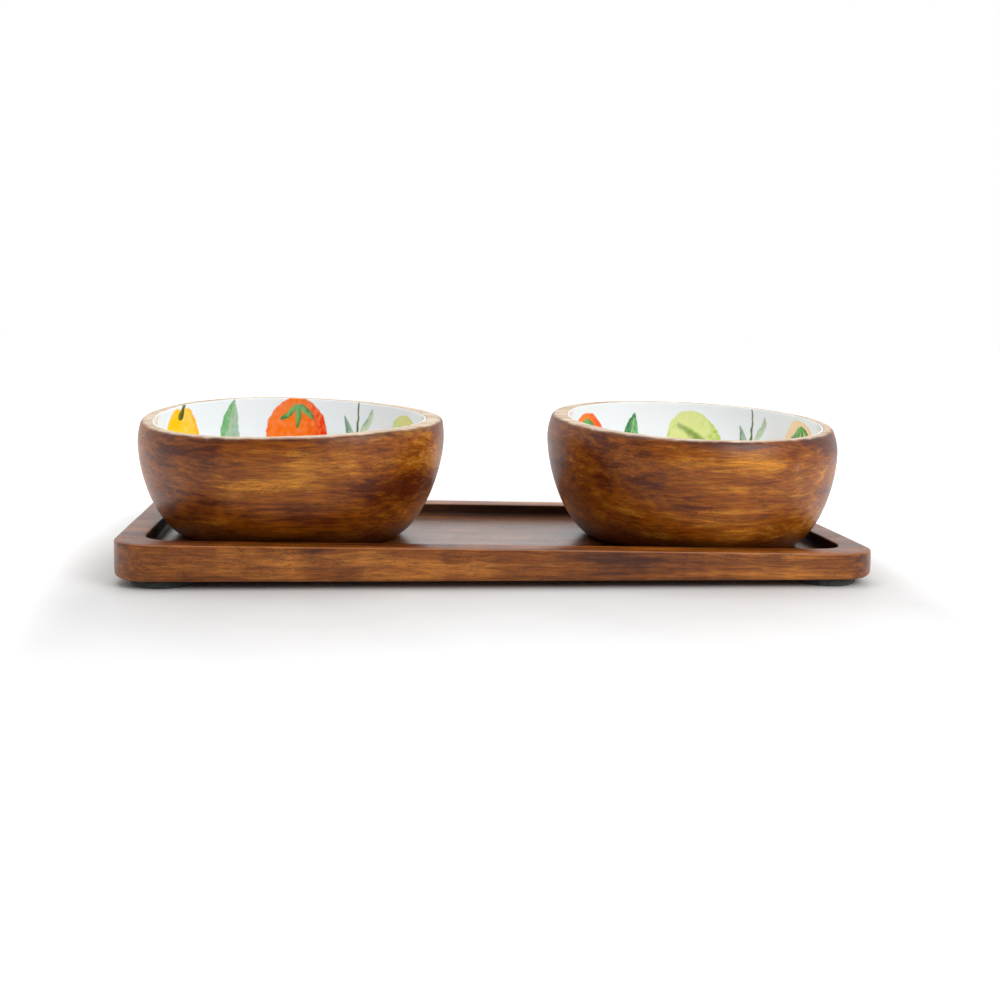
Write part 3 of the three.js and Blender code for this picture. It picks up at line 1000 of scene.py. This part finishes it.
def pepper(size, light, deep):
    """Two lobes side by side under a short stalk."""
    stalk = ("stroke", (size * 0.1, size * 1.3), (0, size * 0.75), 0.6, (2.4, 4.4))
    return [
        ("fruit", (-size * 0.42, 0), (size * 0.6, size), 0.1, light, deep, 1.0),
        ("fruit", (size * 0.42, 0), (size * 0.6, size * 0.94), -0.1, light, deep, 0.95),
        (*stalk, "moss", "olive", 1.0, 0.4),
    ]


print("a tomato takes", len(tomato(1, "coral", "deep_coral")), "marks and a lime", len(lime(1)))

# %% Draw the leaf and the sprig


def broad_leaf(length, light, deep):
    """A leaf with a pale midrib."""
    half = length / 2
    rib = ("stroke", (0, -half), (0, half * 0.8), 2.0, (0.9, 0.5))
    return [
        ("leaf", (0, -half), (0, half), 2.0, (length * 0.42, length * 0.34), light, deep, 0.95, 0.4),
        (*rib, "pale_sage", "sage", 0.7, 0.4),
    ]


def sprig(length):
    """A thin stem with a blade on each side."""
    half = length / 2
    stem = ("stroke", (0, -half), (0, half), 1.6, (1.4, 0.9))
    left_blade = ("leaf", (0, -half * 0.3), (-half * 0.6, half * 0.5), 1.0, (4.0, 3.2))
    right_blade = ("leaf", (0, half * 0.1), (half * 0.6, half * 0.8), -1.0, (4.0, 3.2))
    return [
        (*stem, "moss", "olive", 0.95, 0.4),
        (*left_blade, "sage", "sage_teal", 0.9, 0.4),
        (*right_blade, "pale_sage", "sage", 0.9, 0.4),
    ]


print("a leaf takes", len(broad_leaf(1, "leaf", "sage")), "marks and a sprig", len(sprig(1)))

# %% [markdown]
# ## Setting out the wreaths
# The flat plan of a lining is a disc, with the middle of the floor at its middle and the lip as its
# edge. A wreath sets its motifs at even steps round a circle, each with its top towards the lip.

# %% Set out the wreaths
WALL_RADIUS = 69.0  # mm from the middle of the plan, halfway up the wall
FLOOR_RADIUS = 25.0  # mm, clear of the wall's wreath


def set_point(point, radius, angle):
    """A motif's own point, moved to its place on the plan."""
    along = point[0]
    out = radius + point[1]
    x = out * math.cos(angle) + along * math.sin(angle)
    y = out * math.sin(angle) - along * math.cos(angle)
    return (x, y)


def set_mark(mark, radius, angle):
    """One mark of a motif, moved and turned to its place on the plan."""
    if mark[0] == "fruit":
        kind, middle, radii, turn, *paints = mark
        return (kind, set_point(middle, radius, angle), radii, turn + math.pi / 2 - angle, *paints)
    kind, start, end, *brush = mark
    return (kind, set_point(start, radius, angle), set_point(end, radius, angle), *brush)


def wreath(motifs, radius, first_angle):
    """Motifs at even steps round a circle, from a first angle in degrees."""
    marks = []
    for slot, motif in enumerate(motifs):
        angle = math.radians(first_angle + 360 * slot / len(motifs))
        for mark in motif:
            marks.append(set_mark(mark, radius, angle))
    return marks


print("a bowl's wreaths lie at", WALL_RADIUS, "and", FLOOR_RADIUS, "mm from the middle")

# %% [markdown]
# ## Choosing the order
# Round the wall a leaf or a sprig stands between every two fruits. The floors hold four motifs
# each. The two bowls start at different angles and keep a different order, so they match without
# being alike.

# %% Compose the two prints
LEFT_WALL = (
    broad_leaf(28, "leaf", "deep_leaf"), lime(16), sprig(34),
    tomato(17, "orange", "vermilion"), broad_leaf(30, "sage", "leaf"), pepper(14, "gold", "amber"),
    sprig(32), lime(17), broad_leaf(28, "leaf", "deep_leaf"),
    tomato(16, "coral", "deep_coral"), sprig(34), pepper(14, "peach", "apricot"),
)
LEFT_FLOOR = (tomato(12, "peach", "apricot"), broad_leaf(24, "sage", "leaf"), lime(11), sprig(26))
RIGHT_WALL = (
    tomato(16, "peach", "apricot"), sprig(34), lime(17),
    broad_leaf(28, "leaf", "deep_leaf"), tomato(17, "orange", "vermilion"), sprig(32),
    pepper(14, "gold", "amber"), broad_leaf(30, "sage", "sage_teal"), lime(16),
    sprig(34), tomato(16, "gold", "amber"), broad_leaf(28, "leaf", "deep_leaf"),
)
RIGHT_FLOOR = (pepper(10, "gold", "amber"), sprig(26), broad_leaf(24, "leaf", "deep_leaf"), lime(11))
LEFT_PRINT = wreath(LEFT_WALL, WALL_RADIUS, 0) + wreath(LEFT_FLOOR, FLOOR_RADIUS, 45)
RIGHT_PRINT = wreath(RIGHT_WALL, WALL_RADIUS, 15) + wreath(RIGHT_FLOOR, FLOOR_RADIUS, 0)
print("the prints have", len(LEFT_PRINT), "and", len(RIGHT_PRINT), "marks")

# %% [markdown]
# ## Firing the enamel
# The print lies under a clear glaze, so the gloss runs evenly over paint and ground. The glaze is a
# clear coat with a very slight orange-peel in its surface.

# %% Paint and glaze the linings
STROKE_SWELL = {"stroke": 0.0, "leaf": 1.0}
WAVER = 2.6  # mm that the edge of a mark may wander
GLAZE_DEPTH = 0.02 * MM


def paint_mark(tree, under, plan, clouds, mark):
    """Lays one mark of a print over the colour under it."""
    if mark[0] == "fruit":
        _, middle, radii, turn, light, deep, strength = mark
        values = {"Plan": plan, "Middle": (*middle, 0), "Radii": (*radii, 1), "Turn": turn}
        shape = use_group(tree, FRUIT_GROUP, values)
    else:
        kind, start, end, bend, widths, light, deep, strength, softness = mark
        shape = use_group(tree, STROKE_GROUP, {
            "Plan": plan, "Start": (*start, 0), "End": (*end, 0), "Bend": bend, "Start Width": widths[0],
            "End Width": widths[1], "Belly": STROKE_SWELL[kind], "Softness": softness,
        })
    return use_group(tree, WASH_GROUP, {
        "Under": under, "Mask": shape["Mask"], "Depth": shape["Depth"], "Cloud": clouds,
        "Light": PAINTS[light], "Deep": PAINTS[deep], "Strength": strength,
    })["Color"]


def printed_enamel(name, marks, seed):
    """White enamel with its print under a clear glaze."""
    material, tree, shader = new_material(name)
    flat = add_node(tree, "ShaderNodeUVMap", {"uv_map": "print_plan"}).outputs[0]
    plan = stretch(tree, flat, (100, 100, 0))
    seeded = vector_maths(tree, "ADD", plan, (seed, seed, 0)).outputs[0]
    waver = {"Vector": seeded, "Scale": 0.22, "Detail": 3.0}
    waver = add_node(tree, "ShaderNodeTexNoise", None, waver).outputs["Color"]
    waver = vector_maths(tree, "SUBTRACT", waver, (0.5, 0.5, 0.5)).outputs[0]
    wavering = vector_maths(tree, "MULTIPLY_ADD", waver, (WAVER, WAVER, 0), plan).outputs[0]
    clouds = cloud(tree, seeded, 0.34, 5, 0.62)
    painted = blend(tree, 0.0, PAINTS["ground"], PAINTS["ground"])
    for mark in marks:
        painted = paint_mark(tree, painted, wavering, clouds, mark)
    set_inputs(tree, shader, {
        "Base Color": painted,
        "Roughness": ramp(tree, clouds, 0.2, 0.8, 0.13, 0.2),
        "Normal": bump(tree, cloud(tree, seeded, 0.5, 2), GLAZE_DEPTH),
        "Coat Weight": 0.3,
        "Coat Roughness": 0.05,
        "IOR": 1.36,
    })
    return material


dress(linings["left_bowl"], printed_enamel("left_print_enamel", LEFT_PRINT, 3.0))
dress(linings["right_bowl"], printed_enamel("right_print_enamel", RIGHT_PRINT, 47.0))

# %% [markdown]
# ## Felt and adhesive
# Pressed felt is a mat of dark and lighter fibres with no direction, so two noises at fibre scale
# make its colour and its nap, and sheen gives it its soft edge. The adhesive film keeps its CAD
# shape and gets a cloudy, slightly tacky finish.

# %% Dress the feet and the films
NAP_DEPTH = 0.2 * MM


def pressed_felt():
    """Charcoal felt with a green cast."""
    material, tree, shader = new_material("charcoal_felt")
    place = object_place(tree)
    mottling = cloud(tree, place, 900, 4, 0.7)
    flecks = cloud(tree, place, 3200, 2, 0.6)
    felt = blend(tree, ramp(tree, mottling, 0.35, 0.7), colour(22, 26, 24), colour(58, 64, 60))
    felt = blend(tree, ramp(tree, flecks, 0.6, 0.8, 0, 0.6), felt, colour(120, 126, 118))
    set_inputs(tree, shader, {
        "Base Color": felt,
        "Roughness": ramp(tree, flecks, 0.2, 0.8, 0.85, 1.0),
        "Normal": bump(tree, maths(tree, "ADD", mottling, flecks), NAP_DEPTH),
        "Sheen Weight": 0.3,
    })
    return material


def adhesive_film():
    """Cloudy film that shows as a hairline between felt and wood."""
    material, tree, shader = new_material("adhesive_film")
    haze = cloud(tree, object_place(tree), 600, 3)
    film = blend(tree, ramp(tree, haze, 0.3, 0.7), colour(196, 190, 170), colour(222, 216, 200))
    set_inputs(tree, shader, {"Base Color": film, "Roughness": ramp(tree, haze, 0.3, 0.7, 0.4, 0.6)})
    return material


FELT = pressed_felt()
for foot in feet:
    dress(foot, FELT)
FILM = adhesive_film()
for place in FOOT_PLACES:
    dress(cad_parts["foot_adhesive_" + place], FILM)
print("dressed", len(feet), "feet and", len(FOOT_PLACES), "films")

# %% [markdown]
# ## Floor and light
# The server stands on a white sweep. Close to the tray the sweep is a plain pale floor that takes
# shadow, and further off it glows, so it fades into pure white as an overlit studio sweep does.

# %% Lay the floor
FLOOR_HALF = 4.0
FADE_LENGTH = 0.27  # m from the tray's edge to full glow
SIDE_FADE = 5  # how many times faster the floor fades beyond the tray's ends
FLOOR_TONES = ((0.62, 0.62, 0.62, 1), (0.64, 0.64, 0.64, 1))


def add_floor():
    """A pale floor that brightens to white away from the tray."""
    mesh = bpy.data.meshes.new("pale_floor")
    corners = [(-FLOOR_HALF, -FLOOR_HALF, 0), (FLOOR_HALF, -FLOOR_HALF, 0)]
    corners += [(FLOOR_HALF, FLOOR_HALF, 0), (-FLOOR_HALF, FLOOR_HALF, 0)]
    mesh.from_pydata(corners, [], [(0, 1, 2, 3)])
    floor = bpy.data.objects.new("pale_floor", mesh)
    bpy.context.collection.objects.link(floor)
    material, tree, shader = new_material("pale_floor")
    away = vector_maths(tree, "ABSOLUTE", object_place(tree)).outputs[0]
    away = vector_maths(tree, "SUBTRACT", away, (TRAY_LENGTH / 2, TRAY_WIDTH / 2, 0)).outputs[0]
    away = vector_maths(tree, "MAXIMUM", away, (0, 0, 0)).outputs[0]
    away = vector_maths(tree, "MULTIPLY", away, (SIDE_FADE, 1, 0)).outputs[0]
    glow = ramp(tree, vector_maths(tree, "LENGTH", away).outputs["Value"], 0, FADE_LENGTH)
    mottling = ramp(tree, cloud(tree, object_place(tree), 30), 0.3, 0.7)
    set_inputs(tree, shader, {
        "Base Color": blend(tree, mottling, *FLOOR_TONES),
        "Emission Color": blend(tree, glow, (0, 0, 0, 1), (1, 1, 1, 1)),
        "Emission Strength": 0.5,
        "Roughness": 0.6,
    })
    dress(floor, material)


add_floor()

# %% [markdown]
# ## Light
# The studio is a white room whose front wall is darker. That keeps the colours of the front faces
# deep while the edges and the tops catch the white walls. Two soft lights give the shadows.

# %% Light the studio
FRONT_WALL_LEVEL = 0.25
ROOM_LEVEL = 1.0


def add_room():
    """A white room with a darker front wall; the camera sees it as pure white."""
    world = bpy.data.worlds.new("white_room")
    world.use_nodes = True
    tree = world.node_tree
    background = tree.nodes["Background"]
    looking = add_node(tree, "ShaderNodeTexCoord").outputs["Generated"]
    back = add_node(tree, "ShaderNodeSeparateXYZ", None, {0: looking}).outputs[1]
    level = ramp(tree, back, -0.9, 0.1, FRONT_WALL_LEVEL, ROOM_LEVEL)
    seen = add_node(tree, "ShaderNodeLightPath").outputs["Is Camera Ray"]
    strength = mix_values(tree, seen, level, 1.0)
    set_inputs(tree, background, {"Strength": strength, "Color": (1, 1, 1, 1)})
    bpy.context.scene.world = world


def add_softbox(name, place, target, size, power):
    """A rectangular soft light that faces a point."""
    data = bpy.data.lights.new(name, "AREA")
    data.shape = "RECTANGLE"
    data.size, data.size_y = size
    data.energy = power
    softbox = bpy.data.objects.new(name, data)
    softbox.location = place
    softbox.rotation_euler = (Vector(target) - Vector(place)).to_track_quat("-Z", "Y").to_euler()
    bpy.context.collection.objects.link(softbox)
    print(name, "gives", power, "W")


add_room()
add_softbox("key_softbox", (0.4, -0.5, 0.42), (0, 0, 0.03), (0.4, 0.4), 2.9)
add_softbox("top_softbox", (-0.1, 0.1, 0.9), (0, 0, 0.03), (0.8, 0.5), 3.2)

# %% [markdown]
# ## Finish
# Standard view keeps the whites pure and the paints as mixed.

# %% Set the view
bpy.context.scene.view_settings.view_transform = "Standard"
